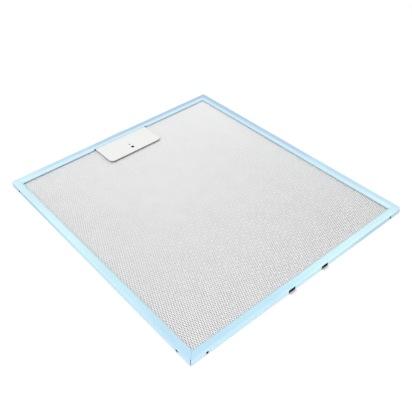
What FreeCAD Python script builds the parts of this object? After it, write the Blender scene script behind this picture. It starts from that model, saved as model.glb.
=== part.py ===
import FreeCAD, Part
import math
import os

import Sketcher
from FreeCAD import Rotation, Vector

# Cooker hood grease filter: a pack of expanded metal sheets held in a folded channel frame, with two
# fixed tongues on one edge and a sprung latch plate on the opposite edge. It lies flat: X runs along the
# latch edge, Y from the tongues to the latch, Z is up, and the origin is under the middle of the frame.

doc = FreeCAD.newDocument("grease_filter")

# Driving dimensions in millimetres
SIZES = [
    ("frame_width", 268, "outside of the frame, along the latch edge"),
    ("frame_length", 300, "outside of the frame, from the tongue wall to the latch wall"),
    ("frame_height", 7.2, "outside of the channel, over both flanges"),
    ("strip_gauge", 0.5, "sheet of the folded channel"),
    ("flange_flat", 6.25, "flat of each flange, from the outer wall face"),
    ("lip_run", 2.9, "how far the lip leans inward below the flat"),
    ("lip_drop", 2.5, "how far the lip goes down to the mesh"),
    ("edge_radius", 1.7, "outside of the fold between wall and flange"),
    ("corner_radius", 2.5, "outside of the bends in the wall"),
    ("mitre_gap", 0.15, "slit between the mitred flange ends"),
    ("seam_gap", 0.45, "slit where the two ends of the strip meet"),
    ("drain_inset", 17, "drain hole from the corner"),
    ("drain_height", 3.8, "drain hole above the bottom"),
    ("drain_diameter", 2.8, "drain hole"),
    ("pack_inset", 2, "edge of the mesh sheets from the outer wall face"),
    ("pack_clearance", 0.3, "room above the mesh pack, under the tip of the upper lip"),
    ("face_gauge", 0.4, "thickness of each face mesh"),
    ("cell_short", 22.6, "diamond of a face mesh, short way, centre to centre"),
    ("cell_long", 46.8, "diamond of a face mesh, long way, centre to centre"),
    ("strand_width", 4.2, "strand of a face mesh, at its foot"),
    ("strand_slope", 72, "flank of a strand from upright, in degrees"),
    ("inner_cell_short", 49, "diamond of an inner mesh, short way, centre to centre"),
    ("inner_cell_long", 69, "diamond of an inner mesh, long way, centre to centre"),
    ("inner_strand_width", 6, "strand of an inner mesh"),
    ("tongue_spacing", 42.2, "the two tongues, centre to centre"),
    ("tongue_width", 7.6, "each tongue"),
    ("tongue_reach", 2.7, "tongue beyond the wall"),
    ("tongue_gauge", 1, "sheet of the tongue strip"),
    ("tongue_corner", 1.2, "rounded tip of each tongue"),
    ("strip_end", 6, "tongue strip beyond each tongue"),
    ("strip_depth", 4.4, "tongue strip inside the channel"),
    ("strip_clearance", 0.1, "tongue strip from the inside of the wall"),
    ("slot_clearance", 0.3, "room round each tongue, and round the bolt, in its slot"),
    ("slot_headroom", 3.4, "opening of a tongue slot above its tongue"),
    ("plate_width", 68.8, "latch plate"),
    ("plate_reach", 35.65, "latch plate inward from the flange's flat"),
    ("plate_gauge", 0.6, "sheet of the latch plate"),
    ("plate_sink", 1.8, "top of the latch plate below the top of the frame"),
    ("plate_corner", 5, "rounded front corners of the latch plate"),
    ("plate_stop", 0.2, "shoulder of the latch plate from the inside of the wall"),
    ("notch_clearance", 1.6, "lip notch beside the latch plate"),
    ("notch_headroom", 0.2, "lip notch above the latch plate"),
    ("bolt_width", 30, "bolt of the latch plate that goes through the wall"),
    ("bolt_reach", 2.7, "bolt beyond the wall"),
    ("bolt_corner", 2, "rounded tip of the bolt"),
    ("pull_hole_inset", 9, "pull hole from the front edge of the plate"),
    ("pull_hole_diameter", 3.8, "pull hole"),
    ("dimple_spacing", 6, "dimple behind the pull hole"),
    ("dimple_diameter", 1.8, "dimple"),
    ("dimple_depth", 0.3, "dimple"),
    ("lug_width", 8, "lug on the plate that loads the spring"),
    ("lug_gauge", 1, "lug, along the travel"),
    ("leaf_gauge", 0.3, "sheet of the leaf spring"),
    ("leaf_height", 0.6, "leaf spring, upright"),
    ("leaf_rise", 3, "bow of the leaf spring at rest"),
    ("leaf_span", 96, "leaf spring, end to end"),
    ("leaf_clearance", 0.1, "leaf spring from what it bears on"),
]
INNER_LAYERS = 5

sheet = doc.addObject("Spreadsheet::Sheet", "Sizes")
for row, (alias, number, note) in enumerate(SIZES, start=1):
    sheet.set(f"A{row}", alias)
    sheet.set(f"B{row}", str(number))
    sheet.setAlias(f"B{row}", alias)
    sheet.set(f"C{row}", note)
doc.recompute()

# Places that several pieces share, as expressions of the sizes
HALF_WIDTH = "(Sizes.frame_width / 2)"
HALF_LENGTH = "(Sizes.frame_length / 2)"
LIP_LENGTH = "sqrt(Sizes.lip_run ^ 2 + Sizes.lip_drop ^ 2)"
LIP_EDGE = f"(Sizes.strip_gauge * {LIP_LENGTH} / Sizes.lip_drop)"
LIP_ROOT = f"(Sizes.flange_flat - Sizes.strip_gauge * ({LIP_LENGTH} - Sizes.lip_run) / Sizes.lip_drop)"
LIP_TIP = "(Sizes.flange_flat + Sizes.lip_run)"
PACK_TOP = "(Sizes.frame_height - Sizes.lip_drop)"
PACK_BOTTOM = "Sizes.lip_drop"
MESH_TOP = f"({PACK_TOP} - Sizes.pack_clearance)"
WALL_INSIDE = f"({HALF_LENGTH} - Sizes.strip_gauge)"
PLATE_TOP = "(Sizes.frame_height - Sizes.plate_sink)"
PLATE_BOTTOM = f"({PLATE_TOP} - Sizes.plate_gauge)"
PLATE_FRONT = f"({HALF_LENGTH} - Sizes.flange_flat - Sizes.plate_reach)"
LEAF_BOTTOM = f"({PLATE_TOP} + Sizes.leaf_clearance)"
LEAF_TOP = f"({LEAF_BOTTOM} + Sizes.leaf_height)"
# The leaf's ends lean on the sloping lip, which they meet first with their upper edge
LEAF_SEAT = (
    f"({LIP_TIP} - {LIP_EDGE} - ({LEAF_TOP} - {PACK_TOP}) * Sizes.lip_run / Sizes.lip_drop"
    " - Sizes.leaf_clearance)"
)
LEAF_MIDDLE = f"({HALF_LENGTH} - {LEAF_SEAT} + Sizes.leaf_rise)"
BOW_RADIUS = "((Sizes.leaf_span ^ 2 / 4 + Sizes.leaf_rise ^ 2) / (2 * Sizes.leaf_rise))"
LUG_FRONT = f"({LEAF_MIDDLE} + Sizes.leaf_gauge + Sizes.leaf_clearance)"

nodes = {}


def value(text):
    """The number that an expression of the sizes gives."""
    number = sheet.evalExpression(text)
    return float(getattr(number, "Value", number))


def new_body(label):
    body = doc.addObject("PartDesign::Body", label)
    body.Label = label
    nodes[label] = body
    return body


def new_sketch(body, name, plane, level=None):
    """A sketch on one of the body's own origin planes, moved along the plane's normal by an expression."""
    sketch = body.newObject("Sketcher::SketchObject", name)
    support = [item for item in body.Origin.OriginFeatures if item.Role == plane][0]
    sketch.AttachmentSupport = [(support, "")]
    sketch.MapMode = "FlatFace"
    if level is not None:
        sketch.setExpression("AttachmentOffset.Base.z", level)
    return sketch


def hold(sketch, geometry, point, x, y):
    """Ties a point of the sketch to a pair of expressions, measured from the sketch's origin."""
    for kind, text in (("DistanceX", x), ("DistanceY", y)):
        constraint = Sketcher.Constraint(kind, -1, 1, geometry, point, value(text))
        index = sketch.addConstraint(constraint)
        name = f"{kind}{geometry}p{point}"
        sketch.renameConstraint(index, name)
        sketch.setExpression(f"Constraints.{name}", text)


def chain(sketch, corners, closed=True):
    """Straight lines through corners that are pairs of expressions."""
    points = [Vector(value(x), value(y), 0) for x, y in corners]
    ends = points[1:] + points[:1] if closed else points[1:]
    first = sketch.GeometryCount
    for start, end in zip(points, ends):
        sketch.addGeometry(Part.LineSegment(start, end))
    lines = len(ends)
    for line in range(lines if closed else lines - 1):
        follower = first + (line + 1) % lines
        sketch.addConstraint(Sketcher.Constraint("Coincident", first + line, 2, follower, 1))
    for line, (x, y) in enumerate(corners[:lines]):
        hold(sketch, first + line, 1, x, y)
    if not closed:
        hold(sketch, first + lines - 1, 2, *corners[-1])


def circle(sketch, x, y, diameter):
    radius = value(diameter) / 2
    index = sketch.addGeometry(Part.Circle(Vector(value(x), value(y), 0), Vector(0, 0, 1), radius))
    hold(sketch, index, 3, x, y)
    size = sketch.addConstraint(Sketcher.Constraint("Diameter", index, 2 * radius))
    sketch.renameConstraint(size, f"Diameter{index}")
    sketch.setExpression(f"Constraints.Diameter{index}", diameter)


def rectangle(sketch, left, right, low, high):
    chain(sketch, [(left, low), (right, low), (right, high), (left, high)])


def pad(body, sketch, name, length):
    feature = body.newObject("PartDesign::Pad", name)
    feature.Profile = sketch
    feature.setExpression("Length", length)
    doc.recompute()
    return feature


def pocket(body, sketch, name, length=None, reverse=False):
    """A cut against the sketch's normal, or along it when reversed, and through all without a length."""
    before = body.Shape.Volume
    feature = body.newObject("PartDesign::Pocket", name)
    feature.Profile = sketch
    feature.Reversed = reverse
    if length is None:
        feature.Type = "ThroughAll"
    else:
        feature.setExpression("Length", length)
    doc.recompute()
    if body.Shape.Volume > before - 1e-6:
        raise RuntimeError(f"{name} cuts nothing")
    return feature


def fillet(body, name, radius, wanted):
    """Rounds the edges of the body's tip that the test picks."""
    base = body.Tip
    picked = [f"Edge{i}" for i, edge in enumerate(base.Shape.Edges, start=1) if wanted(edge)]
    feature = body.newObject("PartDesign::Fillet", name)
    feature.Base = (base, picked)
    feature.setExpression("Radius", radius)
    doc.recompute()
    return feature


def mirror(body, source, name, plane):
    feature = body.newObject("PartDesign::Mirrored", name)
    feature.Originals = [source]
    support = [item for item in body.Origin.OriginFeatures if item.Role == plane][0]
    feature.MirrorPlane = (support, [""])
    body.Tip = feature
    doc.recompute()
    return feature


def middle(edge):
    return edge.valueAt((edge.FirstParameter + edge.LastParameter) / 2)


def is_upright(edge):
    low, high = edge.Vertexes[0].Point, edge.Vertexes[-1].Point
    return math.hypot(high.x - low.x, high.y - low.y) < 1e-6 and abs(high.z - low.z) > 1e-3


def depth_in_frame(point):
    """Distance of a point from the nearest outer wall face of the frame, as (from X wall, from Y wall)."""
    return value(HALF_WIDTH) - abs(point.x), value(HALF_LENGTH) - abs(point.y)


def channel_frame():
    """The folded strip: a C section with leaning lips, swept round the mesh pack with mitred flanges."""
    body = new_body("channel_frame")
    sweep_channel(body)
    round_channel(body)
    cut_mitres(body)
    cut_latch_way(body)
    cut_tongue_slots(body)
    cut_drains(body)


def sweep_channel(body):
    wall_foot = f"-{HALF_LENGTH}"

    def across(inset):
        return f"{wall_foot} + {inset}"

    top = "Sizes.frame_height"
    gauge = "Sizes.strip_gauge"
    section = new_sketch(body, "channel_section", "YZ_Plane")
    chain(section, [
        (wall_foot, "0"),
        (across("Sizes.flange_flat"), "0"),
        (across(LIP_TIP), PACK_BOTTOM),
        (across(f"{LIP_TIP} - {LIP_EDGE}"), PACK_BOTTOM),
        (across(LIP_ROOT), gauge),
        (across(gauge), gauge),
        (across(gauge), f"{top} - {gauge}"),
        (across(LIP_ROOT), f"{top} - {gauge}"),
        (across(f"{LIP_TIP} - {LIP_EDGE}"), PACK_TOP),
        (across(LIP_TIP), PACK_TOP),
        (across("Sizes.flange_flat"), top),
        (wall_foot, top),
    ])
    path = new_sketch(body, "channel_path", "XY_Plane")
    chain(path, [
        ("0", wall_foot),
        (HALF_WIDTH, wall_foot),
        (HALF_WIDTH, HALF_LENGTH),
        (f"-{HALF_WIDTH}", HALF_LENGTH),
        (f"-{HALF_WIDTH}", wall_foot),
    ])
    doc.recompute()
    feature = body.newObject("PartDesign::AdditivePipe", "channel_sweep")
    feature.Profile = section
    feature.Spine = (path, [f"Edge{i + 1}" for i in range(path.GeometryCount)])
    feature.Transition = "Right corner"
    doc.recompute()


def round_channel(body):
    """Bends three corners of the wall and folds its edges; the fourth corner is the sharp butt seam."""
    gauge = value("Sizes.strip_gauge")
    bend = value("Sizes.corner_radius")
    top = value("Sizes.frame_height")

    def bent_corner(inset):
        def wanted(edge):
            point = middle(edge)
            at_corner = all(abs(depth - inset) < 1e-3 for depth in depth_in_frame(point))
            at_seam = point.x < 0 and point.y < 0
            return is_upright(edge) and at_corner and not at_seam
        return wanted

    def fold(inset):
        def wanted(edge):
            point = middle(edge)
            level = abs(point.z - inset) < 1e-3 or abs(point.z - top + inset) < 1e-3
            reach = [max(bend - depth, 0) for depth in depth_in_frame(point)]
            on_wall = math.hypot(*reach) > bend - inset - 1e-3
            return level and on_wall and not is_upright(edge)
        return wanted

    fillet(body, "outer_bends", "Sizes.corner_radius", bent_corner(0))
    fillet(body, "inner_bends", "Sizes.corner_radius - Sizes.strip_gauge", bent_corner(gauge))
    fillet(body, "outer_folds", "Sizes.edge_radius", fold(0))
    fillet(body, "inner_folds", "Sizes.edge_radius - Sizes.strip_gauge", fold(gauge))


def cut_mitres(body):
    """Slits between the flange ends at each corner, and the butt seam through the wall at one of them."""
    slits = new_sketch(body, "mitre_slits", "XY_Plane")
    beyond_tip = f"({LIP_TIP} + Sizes.lip_run)"
    for x_side in (-1, 1):
        for y_side in (-1, 1):
            diagonal_slit(slits, x_side, y_side, "Sizes.edge_radius", beyond_tip, "Sizes.mitre_gap")
    pocket(body, slits, "mitre_cuts", reverse=True)
    seam = new_sketch(body, "butt_seam", "XY_Plane")
    diagonal_slit(seam, -1, -1, "-Sizes.edge_radius", "Sizes.edge_radius", "Sizes.seam_gap")
    pocket(body, seam, "butt_seam_cut", reverse=True)


def diagonal_slit(sketch, x_side, y_side, near, far, gap):
    """A narrow rectangle along a corner's diagonal, between two depths from the outer wall faces."""
    half_gap = f"({gap} / 2 / sqrt(2))"
    corners = []
    for depth, side in ((near, 1), (far, 1), (far, -1), (near, -1)):
        x = f"{x_side} * ({HALF_WIDTH} - {depth} + {side} * {half_gap})"
        y = f"{y_side} * ({HALF_LENGTH} - {depth} - {side} * {half_gap})"
        corners.append((x, y))
    chain(sketch, corners)


def cut_latch_way(body):
    """The notch low in the upper lip that the latch plate slides through, and the wall slot for its bolt."""
    half_notch = "(Sizes.plate_width / 2 + Sizes.notch_clearance)"
    notch = new_sketch(body, "lip_notch", "XY_Plane", "Sizes.frame_height / 2")
    flat_edge = f"{HALF_LENGTH} - Sizes.flange_flat"
    rectangle(notch, f"-{half_notch}", half_notch, f"{flat_edge} - 2 * Sizes.lip_run", flat_edge)
    notch_top = f"{PLATE_TOP} + Sizes.notch_headroom"
    pocket(body, notch, "lip_notch_cut", f"{notch_top} - Sizes.frame_height / 2", reverse=True)
    half_slot = "(Sizes.bolt_width / 2 + Sizes.slot_clearance)"
    slot = new_sketch(body, "bolt_slot", "XZ_Plane", f"-{HALF_LENGTH}")
    low = f"{PLATE_BOTTOM} - Sizes.slot_clearance"
    high = f"{PLATE_TOP} + Sizes.slot_clearance"
    rectangle(slot, f"-{half_slot}", half_slot, low, high)
    pocket(body, slot, "bolt_slot_cut", "2 * Sizes.strip_gauge", reverse=True)


def cut_tongue_slots(body):
    slots = new_sketch(body, "tongue_slots", "XZ_Plane", HALF_LENGTH)
    half_slot = "(Sizes.tongue_width / 2 + Sizes.slot_clearance)"
    low = f"{PACK_BOTTOM} - Sizes.tongue_gauge - Sizes.slot_clearance"
    high = f"{PACK_BOTTOM} + Sizes.slot_headroom"
    for side in (-1, 1):
        centre = f"{side} * Sizes.tongue_spacing / 2"
        rectangle(slots, f"{centre} - {half_slot}", f"{centre} + {half_slot}", low, high)
    pocket(body, slots, "tongue_slot_cuts", "2 * Sizes.strip_gauge")


def cut_drains(body):
    """Two small round holes near the ends of every wall."""
    walls = (("XZ_Plane", HALF_LENGTH, HALF_WIDTH, False), ("YZ_Plane", f"-{HALF_WIDTH}", HALF_LENGTH, True))
    for plane, level, half_run, reverse in walls:
        drains = new_sketch(body, f"drains_{plane[:2]}", plane, level)
        for side in (-1, 1):
            along = f"{side} * ({half_run} - Sizes.drain_inset)"
            circle(drains, along, "Sizes.drain_height", "Sizes.drain_diameter")
        cut = pocket(body, drains, f"drain_cuts_{plane[:2]}", "2 * Sizes.strip_gauge", reverse)
        mirror(body, cut, f"drains_across_{plane[:2]}", plane)


def mesh_sheet(label, bottom, gauge, short, long, strand, long_along_y, ridge=None):
    """One expanded sheet: diamond gaps in two staggered grids, their long way along Y or along X.

    With a ridge of "up" or "down", the strands' flanks lean, so that each strand is a ridge to that side.
    """
    body = new_body(label)
    half_x = f"({HALF_WIDTH} - Sizes.pack_inset)"
    half_y = f"({HALF_LENGTH} - Sizes.pack_inset)"
    blank = new_sketch(body, f"{label}_blank", "XY_Plane", bottom)
    rectangle(blank, f"-{half_x}", half_x, f"-{half_y}", half_y)
    pad(body, blank, f"{label}_pad", gauge)
    pitch_x, pitch_y = (short, long) if long_along_y else (long, short)
    window_x = f"(Sizes.frame_width - 2 * {LIP_TIP})"
    window_y = f"(Sizes.frame_length - 2 * {LIP_TIP})"
    columns = f"floor({window_x} / {pitch_x})"
    rows = f"floor({window_y} / {pitch_y})"
    slant = f"sqrt({short} ^ 2 + {long} ^ 2)"
    gap_x = f"({pitch_x} / 2 - {strand} * {slant} / {pitch_y} / 2)"
    gap_y = f"({pitch_y} / 2 - {strand} * {slant} / {pitch_x} / 2)"
    for name, fewer in (("gaps", 0), ("staggered_gaps", 1)):
        across = f"({columns} - {1 + fewer})"
        along = f"({rows} - {1 + fewer})"
        first_x = f"(-{across} * {pitch_x} / 2)"
        first_y = f"(-{along} * {pitch_y} / 2)"
        foot = f"{bottom} + {gauge}" if ridge == "down" else bottom
        gap = new_sketch(body, f"{label}_{name}", "XY_Plane", foot)
        chain(gap, [
            (f"{first_x} - {gap_x}", first_y),
            (first_x, f"{first_y} - {gap_y}"),
            (f"{first_x} + {gap_x}", first_y),
            (first_x, f"{first_y} + {gap_y}"),
        ])
        cut = pocket(body, gap, f"{label}_{name}_cut", gauge, reverse=ridge != "down")
        if ridge:
            cut.setExpression("TaperAngle", "Sizes.strand_slope")
        grid(body, cut, f"{label}_{name}_grid", (pitch_x, across), (pitch_y, along))


def grid(body, source, name, *directions):
    """Repeats a cut along X and Y: each direction is a pitch and a number of steps."""
    pattern = body.newObject("PartDesign::MultiTransform", name)
    pattern.Originals = [source]
    steps = []
    for role, (pitch, count) in zip(("X_Axis", "Y_Axis"), directions):
        row = body.newObject("PartDesign::LinearPattern", f"{name}_{role[0]}")
        axis = [item for item in body.Origin.OriginFeatures if item.Role == role][0]
        row.Direction = (axis, [""])
        row.setExpression("Length", f"{pitch} * {count}")
        row.setExpression("Occurrences", f"{count} + 1")
        steps.append(row)
    pattern.Transformations = steps
    body.Tip = pattern
    doc.recompute()


def mesh_pack():
    """Two face meshes with the inner layers between them, face on face, laid across and along in turns."""
    face = "Sizes.face_gauge"
    cell = ("Sizes.cell_short", "Sizes.cell_long", "Sizes.strand_width")
    mesh_sheet("lower_face_mesh", PACK_BOTTOM, face, *cell, long_along_y=True, ridge="down")
    mesh_sheet("upper_face_mesh", f"{MESH_TOP} - {face}", face, *cell, long_along_y=True, ridge="up")
    layer = f"(({MESH_TOP} - {PACK_BOTTOM} - 2 * {face}) / {INNER_LAYERS})"
    inner_cell = ("Sizes.inner_cell_short", "Sizes.inner_cell_long", "Sizes.inner_strand_width")
    for index in range(INNER_LAYERS):
        bottom = f"{PACK_BOTTOM} + {face} + {index} * {layer}"
        mesh_sheet(f"inner_mesh_{index + 1}", bottom, layer, *inner_cell, long_along_y=index % 2 == 1)


def tongue_strip():
    """A strip under the mesh pack in the channel, with two tongues that go out through the wall."""
    body = new_body("tongue_strip")
    half = "(Sizes.tongue_spacing / 2 + Sizes.tongue_width / 2 + Sizes.strip_end)"
    outline = new_sketch(body, "strip_outline", "XY_Plane", f"{PACK_BOTTOM} - Sizes.tongue_gauge")
    wall = f"-({WALL_INSIDE} - Sizes.strip_clearance)"
    back = f"{wall} + Sizes.strip_depth"
    tip = f"-({HALF_LENGTH} + Sizes.tongue_reach)"
    corners = [(f"-{half}", back), (f"-{half}", wall)]
    for side in (-1, 1):
        centre = f"{side} * Sizes.tongue_spacing / 2"
        left = f"{centre} - Sizes.tongue_width / 2"
        right = f"{centre} + Sizes.tongue_width / 2"
        corners += [(left, wall), (left, tip), (right, tip), (right, wall)]
    corners += [(half, wall), (half, back)]
    chain(outline, corners)
    pad(body, outline, "strip_pad", "Sizes.tongue_gauge")
    tip_y = value(tip)
    fillet(body, "tongue_tips", "Sizes.tongue_corner",
           lambda edge: is_upright(edge) and abs(middle(edge).y - tip_y) < 1e-3)


def latch_plate():
    """The flat plate that is pulled inward: its bolt goes out through the wall, its lug loads the spring."""
    body = new_body("latch_plate")
    half_plate = "(Sizes.plate_width / 2)"
    half_bolt = "(Sizes.bolt_width / 2)"
    shoulder = f"{WALL_INSIDE} - Sizes.plate_stop"
    tip = f"{HALF_LENGTH} + Sizes.bolt_reach"
    outline = new_sketch(body, "plate_outline", "XY_Plane", PLATE_BOTTOM)
    chain(outline, [
        (f"-{half_plate}", PLATE_FRONT),
        (half_plate, PLATE_FRONT),
        (half_plate, shoulder),
        (half_bolt, shoulder),
        (half_bolt, tip),
        (f"-{half_bolt}", tip),
        (f"-{half_bolt}", shoulder),
        (f"-{half_plate}", shoulder),
    ])
    pad(body, outline, "plate_pad", "Sizes.plate_gauge")
    front_y, tip_y = value(PLATE_FRONT), value(tip)
    fillet(body, "plate_corners", "Sizes.plate_corner",
           lambda edge: is_upright(edge) and abs(middle(edge).y - front_y) < 1e-3)
    fillet(body, "bolt_corners", "Sizes.bolt_corner",
           lambda edge: is_upright(edge) and abs(middle(edge).y - tip_y) < 1e-3)
    lug = new_sketch(body, "lug_outline", "XY_Plane", PLATE_TOP)
    half_lug = "(Sizes.lug_width / 2)"
    rectangle(lug, f"-{half_lug}", half_lug, LUG_FRONT, f"{LUG_FRONT} + Sizes.lug_gauge")
    pad(body, lug, "lug_pad", f"{LEAF_TOP} - {PLATE_TOP}")
    hole_y = f"{PLATE_FRONT} + Sizes.pull_hole_inset"
    hole = new_sketch(body, "pull_hole", "XY_Plane", PLATE_TOP)
    circle(hole, "0", hole_y, "Sizes.pull_hole_diameter")
    pocket(body, hole, "pull_hole_cut", "Sizes.plate_gauge")
    dimple = new_sketch(body, "dimple", "XY_Plane", PLATE_TOP)
    circle(dimple, "0", f"{hole_y} + Sizes.dimple_spacing", "Sizes.dimple_diameter")
    pocket(body, dimple, "dimple_cut", "Sizes.dimple_depth")


def latch_spring():
    """A bowed leaf on edge: its ends lean on the lip beside the notch, its middle on the plate's lug."""
    half_angle = f"asin(Sizes.leaf_span / 2 / {BOW_RADIUS})"
    outside = bow_disc("leaf_outside", f"{BOW_RADIUS} + Sizes.leaf_gauge")
    outside.setExpression("Angle", f"2 * {half_angle}")
    outside.Placement.Rotation = Rotation(Vector(0, 0, 1), 0)
    outside.setExpression("Placement.Rotation.Angle", f"90 deg - {half_angle}")
    leaf = doc.addObject("Part::Cut", "latch_spring")
    leaf.Label = "latch_spring"
    leaf.Base = outside
    leaf.Tool = bow_disc("leaf_inside", BOW_RADIUS)
    nodes["latch_spring"] = leaf
    doc.recompute()


def bow_disc(name, radius):
    """A disc as high as the leaf spring, round the middle of its bow."""
    disc = doc.addObject("Part::Cylinder", name)
    disc.setExpression("Radius", radius)
    disc.setExpression("Height", "Sizes.leaf_height")
    disc.setExpression("Placement.Base.y", f"{LEAF_MIDDLE} - {BOW_RADIUS}")
    disc.setExpression("Placement.Base.z", LEAF_BOTTOM)
    return disc


channel_frame()
mesh_pack()
tongue_strip()
latch_plate()
latch_spring()
doc.recompute()

for item in doc.Objects:
    if "Invalid" in item.State or "Error" in item.State:
        raise RuntimeError(f"{item.Label} failed: {item.State}")
for label, node in nodes.items():
    if node.Shape.isNull() or not node.Shape.isValid():
        raise RuntimeError(f"{label} has no valid shape")
    print(label, "solids", len(node.Shape.Solids), "volume", round(node.Shape.Volume, 1))

os.makedirs("parts", exist_ok=True)
for label, node in nodes.items():
    node.Shape.exportStep(f"parts/{label}.step")
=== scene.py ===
import bpy
import numpy as np
from mathutils import Matrix, Vector


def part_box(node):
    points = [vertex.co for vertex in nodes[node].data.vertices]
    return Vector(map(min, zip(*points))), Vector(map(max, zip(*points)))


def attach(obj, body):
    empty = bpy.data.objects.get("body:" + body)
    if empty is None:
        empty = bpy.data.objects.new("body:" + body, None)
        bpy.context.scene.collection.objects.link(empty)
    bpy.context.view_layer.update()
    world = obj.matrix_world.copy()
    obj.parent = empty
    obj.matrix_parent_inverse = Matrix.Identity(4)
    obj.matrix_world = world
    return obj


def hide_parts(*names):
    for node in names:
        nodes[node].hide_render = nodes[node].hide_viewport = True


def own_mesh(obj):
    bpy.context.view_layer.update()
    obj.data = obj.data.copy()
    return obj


# Looks of a cooker hood grease filter that lies on a white floor. Lengths are in metres, colours linear.

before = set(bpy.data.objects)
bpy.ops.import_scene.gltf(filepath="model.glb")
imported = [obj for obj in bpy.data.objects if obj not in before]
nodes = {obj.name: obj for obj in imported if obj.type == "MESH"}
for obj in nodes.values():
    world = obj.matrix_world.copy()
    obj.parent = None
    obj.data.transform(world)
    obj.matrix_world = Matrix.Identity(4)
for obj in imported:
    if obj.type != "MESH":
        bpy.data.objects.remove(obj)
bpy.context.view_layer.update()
FRAME_LOW, FRAME_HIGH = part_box("channel_frame")
PLATE_LOW, PLATE_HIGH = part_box("latch_plate")
MM = 0.001

# The camera's place, its line of sight, the picture's horizontal and the lens
CAMERA_PLACE = Vector((-0.28662, -0.36181, 0.38904))
CAMERA_LOOK = Vector((0.47903, 0.58589, -0.65365))
CAMERA_RIGHT = Vector((0.7598, -0.64965, -0.02548))
LENS_MM = 51.255
SENSOR_MM = 36.0

# Mesh: the short and the long way of a cell, the width of a strand, and the crest's place across it
FACE_CELL = (2.30 * MM, 5.10 * MM)
FACE_STRAND = 0.80 * MM
INNER_CELL = (5.0 * MM, 9.5 * MM)
INNER_STRAND = 1.15 * MM
INNER_LAYERS = 5
CREST_PLACE = -0.15

# The face strands get wider by this share, from where x + y has the first value to where it has the second
FACE_WIDENING = 0.34
WIDENING_FROM = -40 * MM
WIDENING_TO = 280 * MM

# The folded strip and the latch plate, as they are in the solids
STRIP_GAUGE = 0.5 * MM
FLANGE_FLAT = 6.25 * MM
LIP_RUN = 2.9 * MM
LIP_DROP = 2.5 * MM
EDGE_RADIUS = 1.7 * MM
CORNER_RADIUS = 2.5 * MM
DRAIN_INSET = 17 * MM
DRAIN_HEIGHT = 3.8 * MM
PLATE_GAUGE = 0.6 * MM

# The bowed leaf spring at rest
LEAF_SPAN = 96 * MM
LEAF_RISE = 3 * MM
LEAF_GAUGE = 0.3 * MM
LEAF_STEPS = 24

# Film tone stops, painted light and shade, from the front to the back corner, on the flanges and on the
# walls
FLANGE_LIGHT_AND_SHADE_TONES = (
    (0.05, (0.47, 0.72, 0.89)),
    (0.20, (0.54, 0.82, 0.91)),
    (0.36, (0.65, 0.91, 0.94)),
    (0.57, (0.60, 0.85, 0.91)),
    (0.68, (0.44, 0.64, 0.82)),
    (0.90, (0.385, 0.57, 0.77)),
)
WALL_SHADE_TONES = (
    (0.05, (0.58, 0.78, 0.86)),
    (0.28, (0.57, 0.78, 0.84)),
    (0.46, (0.39, 0.57, 0.70)),
)
FILM_CLOUD_SCALE = 14
FILM_CLOUD_SHIFT = 0.06
RIGHT_CORNER_FROM = 0.65
RIGHT_CORNER_SHIFT = 0.15

# Painted highlight on the lips of the two front and the two back sides, and painted shadow on the lips' rims
LIP_HIGHLIGHT_FRONT = (0.69, 0.92, 0.98)
LIP_HIGHLIGHT_BACK = (0.61, 0.84, 0.95)
LIP_HIGHLIGHT_SHARE = 0.8
SIDE_BLEND = 30 * MM
RIM_SHADOW_TONE = (0.42, 0.52, 0.57)
RIM_SHADOW_WIDTH = 1.1 * MM
RIM_SHADOW_SHARE_FRONT = 0.75
RIM_SHADOW_SHARE_BACK = 0.5

# Marks in the film, and where it ends
STREAK_SCALE = 420
STREAK_STRETCH = 0.05
STREAK_TONE = (0.72, 0.95, 0.99)
STREAK_RANGE = (0.35, 0.75)
STREAK_SHARE = 0.22
WRINKLE_SCALE = 160
WRINKLE_STRETCH = 0.35
MITRE_TONE = (0.74, 0.84, 0.93)
MITRE_HALF_WIDTH = 0.25 * MM
# The drains and the inside of the channel are painted near-black as shade
DRAIN_SHADE_RADIUS = 1.45 * MM
PAINTED_SHADE_DARK = (0.02, 0.02, 0.02)

# Foil: painted highlight makes it brighter along this lean of x and y, and round one place
HIGHLIGHT_LEAN = (0.3, 0.7)
HIGHLIGHT_PLACE = (-25 * MM, 15 * MM, 0)
HIGHLIGHT_RADIUS = 130 * MM
HIGHLIGHT_SHARE = 0.4
FOIL_PATCH_SCALE = 60
FOIL_PATCH_SHIFT = 0.1
FOIL_LINE_SCALE = 900
FOIL_LINE_STRETCH = 0.2
UNDER_PLATE_INSET = 5 * MM

# Paint of the latch plate; its cut edges are dark, partly bare edge and partly painted shade, and its dimple
# painted shade
PAINT_TONES = ((0.87, 0.89, 0.86), (0.90, 0.91, 0.89))
CUT_EDGE_AND_SHADE_TONE = (0.12, 0.12, 0.12)
PAINT_CLOUD_SCALE = 25
PEEL_SCALE = 900

# Steel sheet: rolled grain, cloudy patches, and the step in Y where a tongue gets painted shade in its slot
GRAIN_SCALE = 900
GRAIN_STRETCH = 0.06
STEEL_PATCH_SCALE = 120
STEEL_PATCH_RANGE = (0.35, 0.65)
SLOT_SHADE_FROM = FRAME_LOW[1] - 0.4 * MM
SLOT_SHADE_TO = FRAME_LOW[1] + 0.1 * MM

# Noise mostly keeps to this range
NOISE_RANGE = (0.3, 0.7)

# Light: the surround and the lamp together give a level surface the brightness of its own colour
SURROUND_LEVEL = 0.77
KEY_PLACE = Vector((-0.825, -1.05, 1.275))
KEY_SIZE = 3.0
KEY_POWER = 20.0

# Seen in a mirror, the surround falls from white at this height of the direction to this level overhead
CEILING_EDGE = 0.75
CEILING_LEVEL = 0.88

# Floor: its white for the light, and its share of shadow and its margin over white for the viewer
FLOOR_SIZE = 6.0
FLOOR_WHITE = 0.85
FLOOR_SHADOW = 0.2
FLOOR_MARGIN = 0.02


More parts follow.
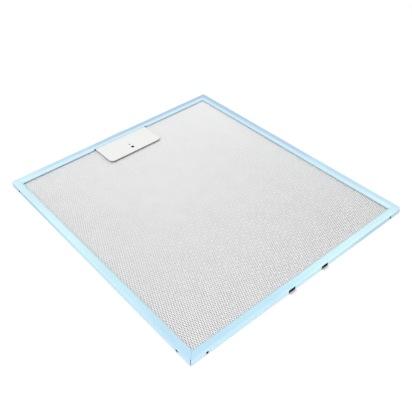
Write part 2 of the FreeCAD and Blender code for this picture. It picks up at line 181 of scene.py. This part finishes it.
class Shader:
    """A material with a Principled shader and short ways to add and wire nodes."""

    def __init__(self, name):
        self.material = bpy.data.materials.new(name)
        self.material.use_nodes = True
        self.tree = self.material.node_tree
        self.principled = self.tree.nodes["Principled BSDF"]
        self.place = self.add("ShaderNodeTexCoord").outputs["Object"]
        self.x, self.y, self.z = self.parts(self.place)

    def set(self, **sockets):
        """Sets the shader's own sockets: a number or a colour directly, another socket by a link."""
        for name, value in sockets.items():
            self.feed(value, self.principled.inputs[name.replace("_", " ")])

    def add(self, kind, **settings):
        """A new node with some of its settings."""
        node = self.tree.nodes.new(kind)
        for name, value in settings.items():
            setattr(node, name, value)
        return node

    def feed(self, source, socket):
        """Links a socket to another one, or gives it a value of its own."""
        if isinstance(source, bpy.types.NodeSocket):
            self.tree.links.new(source, socket)
        elif socket.type == "RGBA":
            socket.default_value = (*source, 1)
        else:
            socket.default_value = source

    def parts(self, vector):
        """The X, Y and Z of a vector."""
        node = self.add("ShaderNodeSeparateXYZ")
        self.feed(vector, node.inputs[0])
        return node.outputs

    def math(self, operation, *sources):
        """The result of one sum, each source a number or a socket."""
        node = self.add("ShaderNodeMath", operation=operation)
        for source, socket in zip(sources, node.inputs):
            self.feed(source, socket)
        return node.outputs[0]

    def noise(self, scale, detail, stretch=(1, 1, 1)):
        """Noise at the place on the piece. A stretch under 1 makes its marks long on that axis."""
        mapping = self.add("ShaderNodeMapping")
        self.feed(self.place, mapping.inputs["Vector"])
        self.feed(stretch, mapping.inputs["Scale"])
        node = self.add("ShaderNodeTexNoise")
        self.feed(mapping.outputs["Vector"], node.inputs["Vector"])
        self.feed(scale, node.inputs["Scale"])
        self.feed(detail, node.inputs["Detail"])
        return node.outputs["Fac"]

    def level(self, source, low, high, to_low, to_high):
        """A number that goes from one level to another as the source goes from low to high."""
        node = self.add("ShaderNodeMapRange")
        for value, name in zip((source, low, high, to_low, to_high),
                               ("Value", "From Min", "From Max", "To Min", "To Max")):
            self.feed(value, node.inputs[name])
        return node.outputs["Result"]

    def spread(self, noise, low, high):
        """A number from low to high over the range that noise mostly keeps to."""
        return self.level(noise, *NOISE_RANGE, low, high)

    def ramp(self, source, stops):
        """A colour by the source: each stop is a position and a colour."""
        node = self.add("ShaderNodeValToRGB")
        elements = node.color_ramp.elements
        while len(elements) < len(stops):
            elements.new(0.5)
        for element, (position, colour) in zip(elements, stops):
            element.position = position
            element.color = (*colour, 1)
        self.feed(source, node.inputs["Fac"])
        return node.outputs["Color"]

    def mix(self, share, first, second):
        """A colour between two, each a colour or a socket, by a share."""
        node = self.add("ShaderNodeMix", data_type="RGBA")
        colours = [item for item in node.inputs if item.type == "RGBA"]
        self.feed(share, node.inputs["Factor"])
        for socket, source in zip(colours, (first, second)):
            self.feed(source, socket)
        return [item for item in node.outputs if item.type == "RGBA"][0]

    def length(self, first, second):
        """Length of a step from its two parts at right angles."""
        squares = [self.math("MULTIPLY", part, part) for part in (first, second)]
        return self.math("SQRT", self.math("ADD", *squares))

    def rounded(self, first, second, radius):
        """Distance behind two faces with a rounded edge between them, from the distances behind each."""
        shorts = [self.math("MAXIMUM", 0, self.math("SUBTRACT", radius, distance))
                  for distance in (first, second)]
        return self.math("SUBTRACT", radius, self.length(*shorts))

    def depths(self):
        """How far a place lies inside the frame's outer faces, along X and along Y."""
        return [self.math("SUBTRACT", FRAME_HIGH[axis], self.math("ABSOLUTE", place))
                for axis, place in enumerate((self.x, self.y))]

    def bump(self, source, strength, distance):
        """Gives the surface a fine relief."""
        node = self.add("ShaderNodeBump")
        self.feed(source, node.inputs["Height"])
        self.feed(strength, node.inputs["Strength"])
        self.feed(distance, node.inputs["Distance"])
        self.set(Normal=node.outputs["Normal"])


def flange_film(shader, tone, along, depth):
    """Film on the flanges, a paler painted highlight on the lips, and a greyer painted shadow at their rims.
    """
    film = shader.ramp(tone, FLANGE_LIGHT_AND_SHADE_TONES)
    at_back = shader.level(along, -SIDE_BLEND, SIDE_BLEND, 0, 1)
    # The lips get a paler painted highlight
    lip_highlight = shader.mix(at_back, LIP_HIGHLIGHT_FRONT, LIP_HIGHLIGHT_BACK)
    on_lip = shader.math("GREATER_THAN", depth, FLANGE_FLAT)
    film = shader.mix(shader.math("MULTIPLY", LIP_HIGHLIGHT_SHARE, on_lip), film, lip_highlight)
    # The lip rims get a painted shadow line
    rim_shadow_share = shader.level(at_back, 0, 1, RIM_SHADOW_SHARE_FRONT, RIM_SHADOW_SHARE_BACK)
    lip_end = FLANGE_FLAT + LIP_RUN
    rim_shadow = shader.level(depth, lip_end - RIM_SHADOW_WIDTH, lip_end - RIM_SHADOW_WIDTH / 4, 0, rim_shadow_share)
    return shader.mix(rim_shadow, film, RIM_SHADOW_TONE)


def noise_along_sides(shader, depth_x, depth_y, scale, detail, stretch):
    """Noise with marks that run along each side of the frame."""
    runs_along_x = shader.math("GREATER_THAN", depth_x, depth_y)
    marks_along_y = shader.noise(scale, detail, (1, stretch, 1))
    marks_along_x = shader.noise(scale, detail, (stretch, 1, 1))
    return shader.mix(runs_along_x, marks_along_y, marks_along_x)


def film_material():
    """Metal strip under a pale blue film: the film is on the outside, the inside of the channel is painted
    near-black as shade.
    """
    shader = Shader("blue_film")
    depth_x, depth_y = shader.depths()
    depth = shader.math("MINIMUM", depth_x, depth_y)

    # The tone, painted light and shade: deeper blue at the front, the back and the right corner, paler cyan
    # between them
    reach = FRAME_HIGH[0] + FRAME_HIGH[1]
    along = shader.math("ADD", shader.x, shader.y)
    clouds = shader.spread(shader.noise(FILM_CLOUD_SCALE, 2), -FILM_CLOUD_SHIFT, FILM_CLOUD_SHIFT)
    tone = shader.math("ADD", shader.level(along, -reach, reach, 0, 1), clouds)
    to_right = shader.math("SUBTRACT", shader.x, shader.y)
    at_right = shader.level(to_right, RIGHT_CORNER_FROM * reach, reach, 0, RIGHT_CORNER_SHIFT)
    tone = shader.math("ADD", tone, at_right)
    film = flange_film(shader, tone, along, depth)

    # On the walls it is greyer as painted shade, most of all far from the front corner
    from_face = shader.math("MINIMUM", shader.z, shader.math("SUBTRACT", FRAME_HIGH[2], shader.z))
    past_flat = shader.math("MAXIMUM", 0, shader.math("SUBTRACT", depth, FLANGE_FLAT))
    lean = shader.math("MULTIPLY", LIP_DROP / LIP_RUN, past_flat)
    under_face = shader.math("SUBTRACT", from_face, lean)
    on_wall = shader.level(under_face, 0.3 * EDGE_RADIUS, EDGE_RADIUS, 0, 1)
    film = shader.mix(on_wall, film, shader.ramp(tone, WALL_SHADE_TONES))
    streaks = noise_along_sides(shader, depth_x, depth_y, STREAK_SCALE, 3, STREAK_STRETCH)
    wrinkles = noise_along_sides(shader, depth_x, depth_y, WRINKLE_SCALE, 4, WRINKLE_STRETCH)
    film = shader.mix(shader.level(streaks, *STREAK_RANGE, 0, STREAK_SHARE), film, STREAK_TONE)

    # The inside of the strip lies behind the outer faces, round the bends and the folds, and is painted
    # near-black as shade
    behind_wall = shader.rounded(depth_x, depth_y, CORNER_RADIUS)
    behind_skin = shader.rounded(behind_wall, under_face, EDGE_RADIUS)
    inside = shader.math("GREATER_THAN", behind_skin, STRIP_GAUGE / 2)

    # The drains are painted dark as shade to their rims
    at_wall = shader.math("LESS_THAN", depth, EDGE_RADIUS)
    beside_drain = shader.math("SUBTRACT", shader.math("MAXIMUM", depth_x, depth_y), DRAIN_INSET)
    over_drain = shader.math("SUBTRACT", shader.z, DRAIN_HEIGHT)
    from_drain = shader.length(beside_drain, over_drain)
    drain_shade = shader.math("MULTIPLY", shader.math("LESS_THAN", from_drain, DRAIN_SHADE_RADIUS), at_wall)
    film = shader.mix(shader.math("MAXIMUM", inside, drain_shade), film, PAINTED_SHADE_DARK)

    # The cut ends of the flanges, at the mitres, are pale
    beside_mitre = shader.math("ABSOLUTE", shader.math("SUBTRACT", depth_x, depth_y))
    at_mitre = shader.math("LESS_THAN", beside_mitre, MITRE_HALF_WIDTH)
    mitre = shader.math("MULTIPLY", at_mitre, shader.math("SUBTRACT", 1, at_wall))
    shader.set(
        Base_Color=shader.mix(mitre, film, MITRE_TONE),
        Roughness=shader.spread(streaks, 0.28, 0.42),
        IOR=1.45,
        Specular_IOR_Level=shader.level(drain_shade, 0, 1, 0.5, 0),
    )
    relief = shader.math("ADD", wrinkles, shader.math("MULTIPLY", 0.3, streaks))
    shader.bump(relief, strength=0.25, distance=0.6 * MM)
    return shader.material


def foil_material(name, shaded_tone, lit_tone, roughness):
    """Aluminium foil with patches and drawn lines, and a painted highlight towards the latch and in the
    middle.

    It is painted dark as shade where it lies in the channel, and its top layers are painted dark as shade
    under the latch plate.
    """
    shader = Shader(name)
    drift = shader.math("ADD", *[shader.math("MULTIPLY", share, place)
                                 for share, place in zip(HIGHLIGHT_LEAN, (shader.x, shader.y))])
    reach = HIGHLIGHT_LEAN[0] * FRAME_HIGH[0] + HIGHLIGHT_LEAN[1] * FRAME_HIGH[1]
    patches = shader.spread(shader.noise(FOIL_PATCH_SCALE, 3), -FOIL_PATCH_SHIFT, FOIL_PATCH_SHIFT)
    patches_and_painted_light = shader.math("ADD", patches, shader.level(drift, -reach, reach, 0, 1))
    from_highlight = shader.add("ShaderNodeVectorMath", operation="DISTANCE")
    shader.feed(shader.place, from_highlight.inputs[0])
    shader.feed(HIGHLIGHT_PLACE, from_highlight.inputs[1])
    # A painted highlight round one place
    glow = shader.level(from_highlight.outputs["Value"], 0, HIGHLIGHT_RADIUS, HIGHLIGHT_SHARE, 0)
    foil = shader.mix(shader.math("ADD", patches_and_painted_light, glow), shaded_tone, lit_tone)

    depth = shader.math("MINIMUM", *shader.depths())
    # Painted shade in the channel and under the latch plate
    in_channel = shader.level(depth, FLANGE_FLAT, FLANGE_FLAT + LIP_RUN, 1, 0)
    half_width = PLATE_HIGH[0] - UNDER_PLATE_INSET
    across = shader.math("LESS_THAN", shader.math("ABSOLUTE", shader.x), half_width)
    behind_front = shader.math("GREATER_THAN", shader.y, PLATE_LOW[1] + UNDER_PLATE_INSET)
    top_layers = shader.math("GREATER_THAN", shader.z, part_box(f"inner_mesh_{INNER_LAYERS}")[0][2])
    under_plate = shader.math("MULTIPLY", shader.math("MULTIPLY", across, behind_front), top_layers)
    shaded = shader.math("MAXIMUM", in_channel, under_plate)
    lines = shader.noise(FOIL_LINE_SCALE, 2, (1, FOIL_LINE_STRETCH, 1))
    shader.set(
        Base_Color=shader.mix(shaded, foil, PAINTED_SHADE_DARK),
        Metallic=1.0,
        Roughness=shader.spread(lines, roughness - 0.06, roughness + 0.06),
    )
    shader.bump(lines, strength=0.15, distance=0.05 * MM)
    return shader.material


def plate_material():
    """Off-white satin paint with faint orange peel; the cut edges are dark, partly bare edge and partly
    painted shade, and the dimple has painted shade.
    """
    shader = Shader("plate_paint")
    normal = shader.add("ShaderNodeNewGeometry").outputs["Normal"]
    upward = shader.parts(normal)["Z"]
    # The cut edges are dark, partly bare edge and partly painted shade; the dimple below gets painted shade
    cut_edge_and_shade = shader.math("LESS_THAN", shader.math("ABSOLUTE", upward), 0.5)
    dimple_shade = shader.math("COMPARE", shader.z, PLATE_LOW[2] + PLATE_GAUGE / 2, 0.2 * PLATE_GAUGE)
    clouds = shader.noise(PAINT_CLOUD_SCALE, 3)
    paint = shader.mix(shader.spread(clouds, 0, 1), *PAINT_TONES)
    peel = shader.noise(PEEL_SCALE, 2)
    shader.set(
        Base_Color=shader.mix(shader.math("MAXIMUM", cut_edge_and_shade, dimple_shade), paint, CUT_EDGE_AND_SHADE_TONE),
        Metallic=0.35,
        Roughness=shader.spread(peel, 0.36, 0.46),
    )
    shader.bump(peel, strength=0.08, distance=0.1 * MM)
    return shader.material


def steel_material(name, colour, worn, roughness, metallic, in_slots):
    """Steel sheet with a rolled grain along X and cloudy patches, painted dark as shade where it lies in the
    tongue slots.
    """
    shader = Shader(name)
    patches = shader.noise(STEEL_PATCH_SCALE, 4)
    sheet = shader.mix(shader.level(patches, *STEEL_PATCH_RANGE, 0, 1), colour, worn)
    if in_slots:
        # Painted shade where the tongue lies in its slot
        behind_wall = shader.level(shader.y, SLOT_SHADE_FROM, SLOT_SHADE_TO, 0, 1)
        sheet = shader.mix(behind_wall, sheet, PAINTED_SHADE_DARK)
    rolled = shader.noise(GRAIN_SCALE, 3, (GRAIN_STRETCH, 1, 1))
    shader.set(
        Base_Color=sheet,
        Metallic=metallic,
        Roughness=shader.spread(rolled, roughness - 0.08, roughness + 0.08),
    )
    shader.bump(rolled, strength=0.1, distance=0.1 * MM)
    return shader.material


def dress(node, material):
    """Gives a CAD node its finish."""
    nodes[node].data.materials.clear()
    nodes[node].data.materials.append(material)


def new_piece(name, vertices, faces, material, body, slot, *replaced):
    """A mesh that moves with a body and stands for CAD nodes."""
    mesh = bpy.data.meshes.new(name)
    mesh.from_pydata(vertices, [], faces)
    mesh.validate()
    mesh.update()
    mesh.materials.append(material)
    piece = bpy.data.objects.new(name, mesh)
    bpy.context.scene.collection.objects.link(piece)
    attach(piece, body)
    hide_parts(*replaced)
    return piece


def expanded_sheet(low, high, cell, strand, along_y, ridge_up=True, widening=0.0):
    """Vertices and faces of an expanded sheet: zigzag strands side by side that meet at their bends.

    Every strand is a leaning ridge with a three-cornered section. The strands run along Y, or along X.
    """
    first, second = (0, 1) if along_y else (1, 0)
    strips = 2 * round((high[first] - low[first]) / cell[0])
    steps = 2 * round((high[second] - low[second]) / cell[1])
    pitch = (high[first] - low[first]) / strips
    step = (high[second] - low[second]) / steps
    strip = np.arange(strips)[:, None]
    bend = np.arange(steps + 1)[None, :]
    swing = (strip + bend) % 2
    across = low[first] + strip * pitch
    run = np.broadcast_to(low[second] + bend * step, swing.shape)
    share = np.clip((across + run - WIDENING_FROM) / (WIDENING_TO - WIDENING_FROM), 0, 1)
    width = strand * (1 + widening * share)
    middle = across + width / 2 + swing * (pitch - width)

    foot = (low[2] + high[2]) / 2
    crest = high[2] if ridge_up else low[2]
    section = ((-0.5, foot), (CREST_PLACE, crest), (0.5, foot))
    count = len(section)
    corners = np.zeros((strips, steps + 1, count, 3))
    for index, (side, level) in enumerate(section):
        corners[:, :, index, first] = middle + side * width
        corners[:, :, index, second] = run
        corners[:, :, index, 2] = level

    start = (strip * (steps + 1) + bend[:, :-1]) * count
    faces = []
    for index in range(count):
        here = start + index
        beside = start + (index + 1) % count
        quads = np.stack([here, beside, beside + count, here + count], -1)
        faces += quads.reshape(-1, 4).tolist()
    near_end = np.arange(strips) * (steps + 1) * count
    far_end = near_end + steps * count
    faces += np.stack([near_end + 2, near_end + 1, near_end], -1).tolist()
    faces += np.stack([far_end, far_end + 1, far_end + 2], -1).tolist()
    if along_y == ridge_up:
        faces = [face[::-1] for face in faces]
    return corners.reshape(-1, 3).tolist(), faces


def add_mesh_pack():
    """The strands of the two face meshes, and of the inner layers, which lie in turns across and along."""
    face_foil = foil_material("face_foil", (0.97, 0.97, 0.97), (0.99, 0.99, 0.99), roughness=0.40)
    # The inner layers are painted darker than the face foil, most at the front, as painted shade
    shaded_inner_foil = foil_material("shaded_inner_foil", (0.38, 0.38, 0.38), (0.98, 0.98, 0.98), roughness=0.55)
    for node, ridge_up in (("upper_face_mesh", True), ("lower_face_mesh", False)):
        sheet = expanded_sheet(*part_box(node), FACE_CELL, FACE_STRAND, along_y=True, ridge_up=ridge_up,
                               widening=FACE_WIDENING)
        new_piece(f"{node}_strands", *sheet, face_foil, "filter", "face_mesh", node)
    for index in range(INNER_LAYERS):
        node = f"inner_mesh_{index + 1}"
        sheet = expanded_sheet(*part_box(node), INNER_CELL, INNER_STRAND, along_y=index % 2 == 1)
        new_piece(f"{node}_strands", *sheet, shaded_inner_foil, "filter", "inner_mesh", node)


def add_leaf_spring(material):
    """The bowed leaf spring at rest."""
    low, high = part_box("latch_spring")
    x = np.linspace(-0.5, 0.5, LEAF_STEPS + 1) * LEAF_SPAN
    bow = low[1] + LEAF_RISE * (1 - (2 * x / LEAF_SPAN) ** 2)
    rows = []
    for offset, level in ((0, low[2]), (LEAF_GAUGE, low[2]), (LEAF_GAUGE, high[2]), (0, high[2])):
        rows.append(np.stack([x, bow + offset, np.full_like(x, level)], -1))
    vertices = np.stack(rows, 1).reshape(-1, 3).tolist()
    sides = len(rows)
    faces = [tuple(reversed(range(sides))), tuple(LEAF_STEPS * sides + side for side in range(sides))]
    for start in range(0, LEAF_STEPS * sides, sides):
        for side in range(sides):
            here = start + side
            beside = start + (side + 1) % sides
            faces.append((here, beside, beside + sides, here + sides))
    piece = new_piece("leaf_strip", vertices, faces, material, "filter", "spring_steel", "latch_spring")
    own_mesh(piece)


def white_to_viewer(tree):
    """A share socket that is 1 for the rays that show the background: camera, mirror and glass rays."""
    path = tree.nodes.new("ShaderNodeLightPath")
    share = path.outputs["Is Camera Ray"]
    for ray in ("Is Glossy Ray", "Is Transmission Ray"):
        either = tree.nodes.new("ShaderNodeMath")
        either.operation = "MAXIMUM"
        tree.links.new(share, either.inputs[0])
        tree.links.new(path.outputs[ray], either.inputs[1])
        share = either.outputs[0]
    return share


def floor_material():
    """White paper: it glows a little to the viewer, so that it comes out white and keeps the shadow."""
    material = bpy.data.materials.new("floor_white")
    material.use_nodes = True
    tree = material.node_tree
    tree.nodes.remove(tree.nodes["Principled BSDF"])
    paper = tree.nodes.new("ShaderNodeBsdfDiffuse")
    paper.inputs["Color"].default_value = (FLOOR_WHITE, FLOOR_WHITE, FLOOR_WHITE, 1)
    shadow = tree.nodes.new("ShaderNodeBsdfDiffuse")
    shadow.inputs["Color"].default_value = (FLOOR_SHADOW, FLOOR_SHADOW, FLOOR_SHADOW, 1)
    glow = tree.nodes.new("ShaderNodeEmission")
    glow.inputs["Strength"].default_value = 1 - FLOOR_SHADOW + FLOOR_MARGIN
    seen = tree.nodes.new("ShaderNodeAddShader")
    tree.links.new(shadow.outputs[0], seen.inputs[0])
    tree.links.new(glow.outputs[0], seen.inputs[1])
    either = tree.nodes.new("ShaderNodeMixShader")
    tree.links.new(white_to_viewer(tree), either.inputs["Fac"])
    tree.links.new(paper.outputs[0], either.inputs[1])
    tree.links.new(seen.outputs[0], either.inputs[2])
    tree.links.new(either.outputs[0], tree.nodes["Material Output"].inputs["Surface"])
    return material


def add_floor():
    """The floor under the filter, which belongs to the stage."""
    half = FLOOR_SIZE / 2
    corners = [(-half, -half, 0), (half, -half, 0), (half, half, 0), (-half, half, 0)]
    mesh = bpy.data.meshes.new("floor")
    mesh.from_pydata(corners, [], [(0, 1, 2, 3)])
    mesh.materials.append(floor_material())
    floor = bpy.data.objects.new("floor", mesh)
    bpy.context.scene.collection.objects.link(floor)


def add_surround():
    """An even surround that is white in the picture and in mirrors, apart from the ceiling."""
    world = bpy.data.worlds.new("studio")
    bpy.context.scene.world = world
    world.use_nodes = True
    tree = world.node_tree
    direction = tree.nodes.new("ShaderNodeSeparateXYZ")
    tree.links.new(tree.nodes.new("ShaderNodeTexCoord").outputs["Generated"], direction.inputs[0])
    ceiling = tree.nodes.new("ShaderNodeMapRange")
    ceiling.inputs["From Min"].default_value = CEILING_EDGE
    ceiling.inputs["To Min"].default_value = 1.0
    ceiling.inputs["To Max"].default_value = CEILING_LEVEL
    tree.links.new(direction.outputs["Z"], ceiling.inputs["Value"])
    level = tree.nodes.new("ShaderNodeMapRange")
    level.inputs["To Min"].default_value = SURROUND_LEVEL
    tree.links.new(ceiling.outputs["Result"], level.inputs["To Max"])
    tree.links.new(white_to_viewer(tree), level.inputs["Value"])
    background = tree.nodes["Background"]
    background.inputs["Color"].default_value = (1, 1, 1, 1)
    tree.links.new(level.outputs["Result"], background.inputs["Strength"])


def add_lamp():
    """One large soft lamp over the viewer's side, which mirrors don't show."""
    lamp = bpy.data.lights.new("key", "AREA")
    lamp.shape = "DISK"
    lamp.size = KEY_SIZE
    lamp.energy = KEY_POWER
    key = bpy.data.objects.new("key", lamp)
    key.location = KEY_PLACE
    key.rotation_euler = (-KEY_PLACE).to_track_quat("-Z", "Y").to_euler()
    key.visible_camera = False
    key.visible_glossy = False
    bpy.context.scene.collection.objects.link(key)


def add_camera():
    """The camera that was solved on the corners of the frame in the photo."""
    data = bpy.data.cameras.new("camera")
    data.lens = LENS_MM
    data.sensor_width = SENSOR_MM
    camera = bpy.data.objects.new("camera", data)
    look = CAMERA_LOOK.normalized()
    right = (CAMERA_RIGHT - look * CAMERA_RIGHT.dot(look)).normalized()
    up = right.cross(look)
    turn = Matrix((right, up, -look)).transposed().to_4x4()
    camera.matrix_world = Matrix.Translation(CAMERA_PLACE) @ turn
    bpy.context.scene.collection.objects.link(camera)
    bpy.context.scene.camera = camera


add_camera()
dress("channel_frame", film_material())
dress("latch_plate", plate_material())
dress("tongue_strip", steel_material("zinc_sheet", (0.90, 0.90, 0.89), (0.84, 0.84, 0.84),
                                     roughness=0.45, metallic=0.3, in_slots=True))
add_leaf_spring(steel_material("spring_strip", (0.30, 0.31, 0.34), (0.22, 0.22, 0.25),
                               roughness=0.35, metallic=1.0, in_slots=False))
add_mesh_pack()
add_floor()
add_surround()
add_lamp()
bpy.context.scene.view_settings.view_transform = "Standard"
